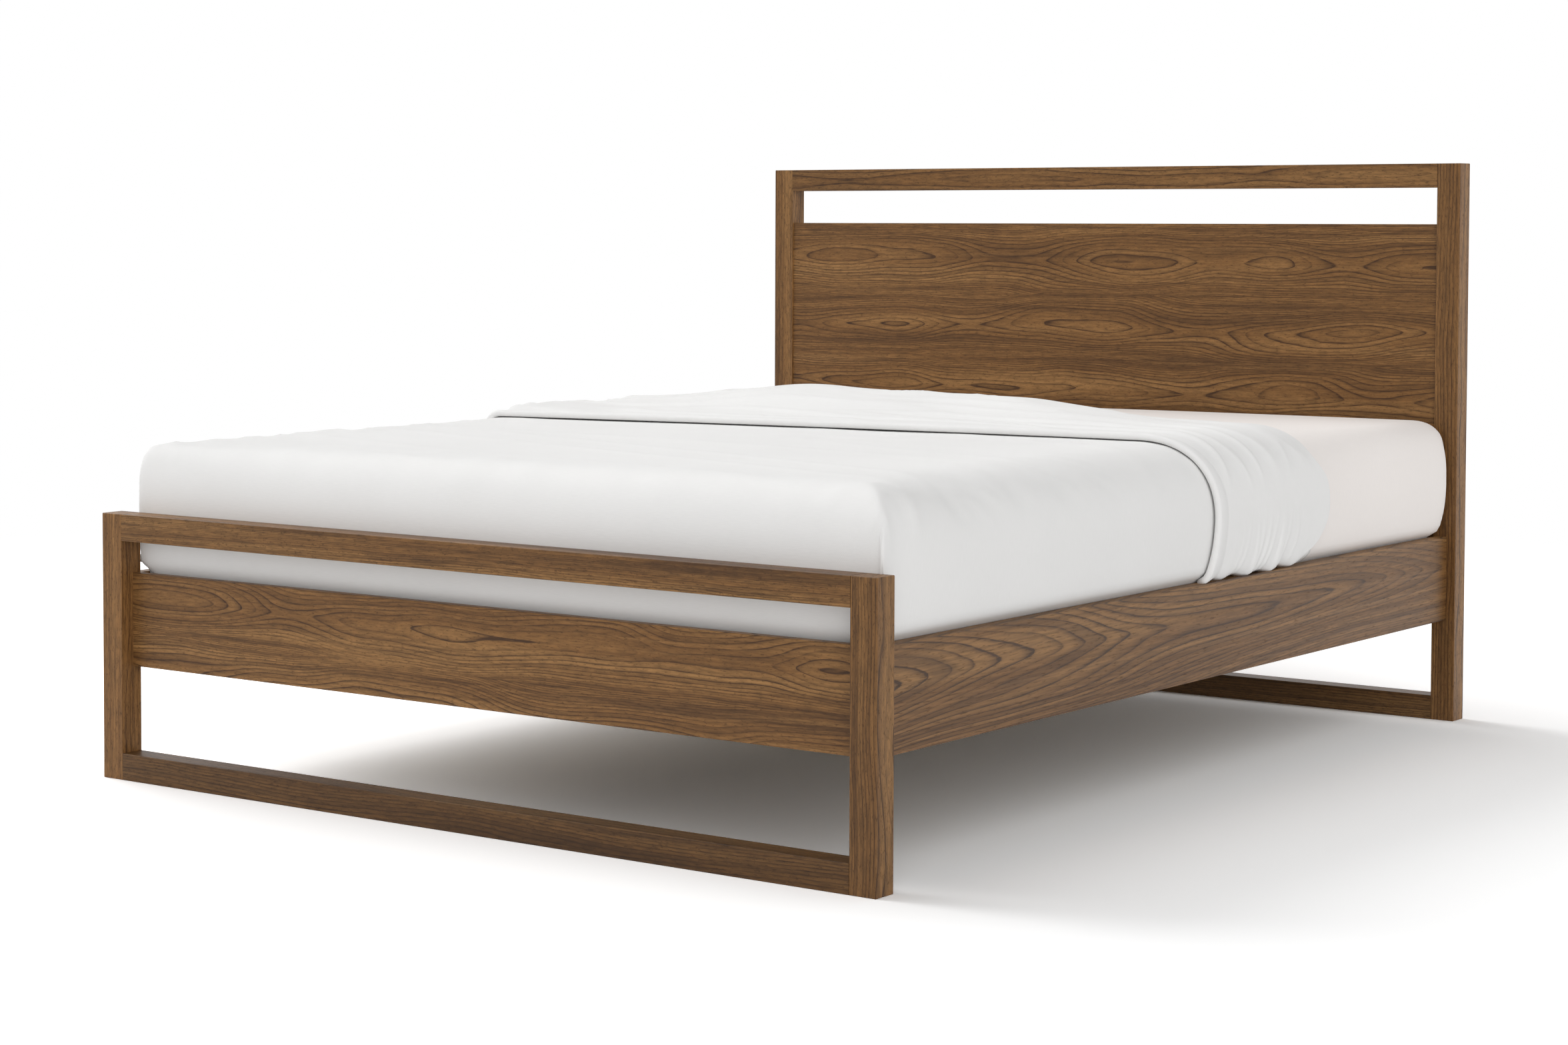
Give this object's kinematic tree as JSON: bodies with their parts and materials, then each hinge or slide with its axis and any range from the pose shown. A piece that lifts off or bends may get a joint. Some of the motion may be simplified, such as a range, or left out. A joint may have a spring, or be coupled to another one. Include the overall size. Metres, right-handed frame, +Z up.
{
  "type": "panel bed",
  "caption": "Walnut panel bed with loop-shaped head and foot frames, hooked side rails, a slatted base on a centre beam, and a mattress made up with a coverlet and a turned-down sheet.",
  "frame": {"origin": "on the floor, under the middle of the bed's outline", "axes": "+X to the right seen from the foot, +Y from the footboard to the headboard, +Z up"},
  "size_m": [1.626, 2.136, 1.1],
  "materials": {
    "walnut": "satin",
    "slat_wood": "matte",
    "dowel_wood": "matte",
    "zinc_steel": "satin",
    "pad_nylon": "matte",
    "mattress_ticking": "matte",
    "fitted_sheet_cotton": "matte",
    "coverlet_cotton": "matte",
    "top_sheet_cotton": "matte"
  },
  "bodies": {
    "bedstead": {"beam_hanger_foot": "zinc_steel", "beam_hanger_head": "zinc_steel", "centre_beam": "slat_wood", "centre_leg": "slat_wood", "foot_dowels": "dowel_wood", "foot_floor_rail": "walnut", "foot_panel": "walnut", "foot_post_left": "walnut", "foot_post_right": "walnut", "foot_top_rail": "walnut", "hanger_screws": "zinc_steel", "head_dowels": "dowel_wood", "head_floor_rail": "walnut", "head_panel": "walnut", "head_post_left": "walnut", "head_post_right": "walnut", "head_top_rail": "walnut", "hook_plate_foot_left": "zinc_steel", "hook_plate_foot_right": "zinc_steel", "hook_plate_head_left": "zinc_steel", "hook_plate_head_right": "zinc_steel", "hook_plate_screws": "zinc_steel", "ledger_left": "slat_wood", "ledger_right": "slat_wood", "ledger_screws": "zinc_steel", "leg_bolt": "zinc_steel", "leg_plate": "zinc_steel", "leg_plate_screws": "zinc_steel", "leveller_insert": "zinc_steel", "side_rail_left": "walnut", "side_rail_right": "walnut", "slat_01": "slat_wood", "slat_02": "slat_wood", "slat_03": "slat_wood", "slat_04": "slat_wood", "slat_05": "slat_wood", "slat_06": "slat_wood", "slat_07": "slat_wood", "slat_08": "slat_wood", "slat_09": "slat_wood", "slat_10": "slat_wood", "slat_11": "slat_wood", "slat_12": "slat_wood", "slat_13": "slat_wood", "slat_14": "slat_wood", "slat_screws": "zinc_steel", "slot_plate_foot_left": "zinc_steel", "slot_plate_foot_right": "zinc_steel", "slot_plate_head_left": "zinc_steel", "slot_plate_head_right": "zinc_steel", "slot_plate_screws": "zinc_steel"},
    "made_up_mattress": {"mattress": "mattress_ticking", "fitted_sheet": "fitted_sheet_cotton", "coverlet": "coverlet_cotton", "turned_down_sheet": "top_sheet_cotton"},
    "leveller_pad": {"leveller_pad": "pad_nylon"},
    "leveller_stem": {"leveller_stem": "zinc_steel"}
  },
  "joints": [
    {"name": "mattress_lift", "type": "slide", "parent": "bedstead", "child": "made_up_mattress", "axis": [0, 0, 1], "range_m": [0, 0.8]},
    {"name": "leveller_travel", "type": "slide", "parent": "bedstead", "child": "leveller_pad", "axis": [0, 0, 1], "range_m": [-0.0101, 0.0081]},
    {"name": "leveller_turn", "type": "hinge", "parent": "leveller_pad", "child": "leveller_stem", "pos_m": [0, 0.00225, 0.02], "axis": [0, 0, 1], "range_deg": [-2880, 2304]}
  ],
  "couplings": [
    {"joint": "leveller_travel", "follows": "leveller_turn", "m_per_rad": 0.00019894}
  ]
}
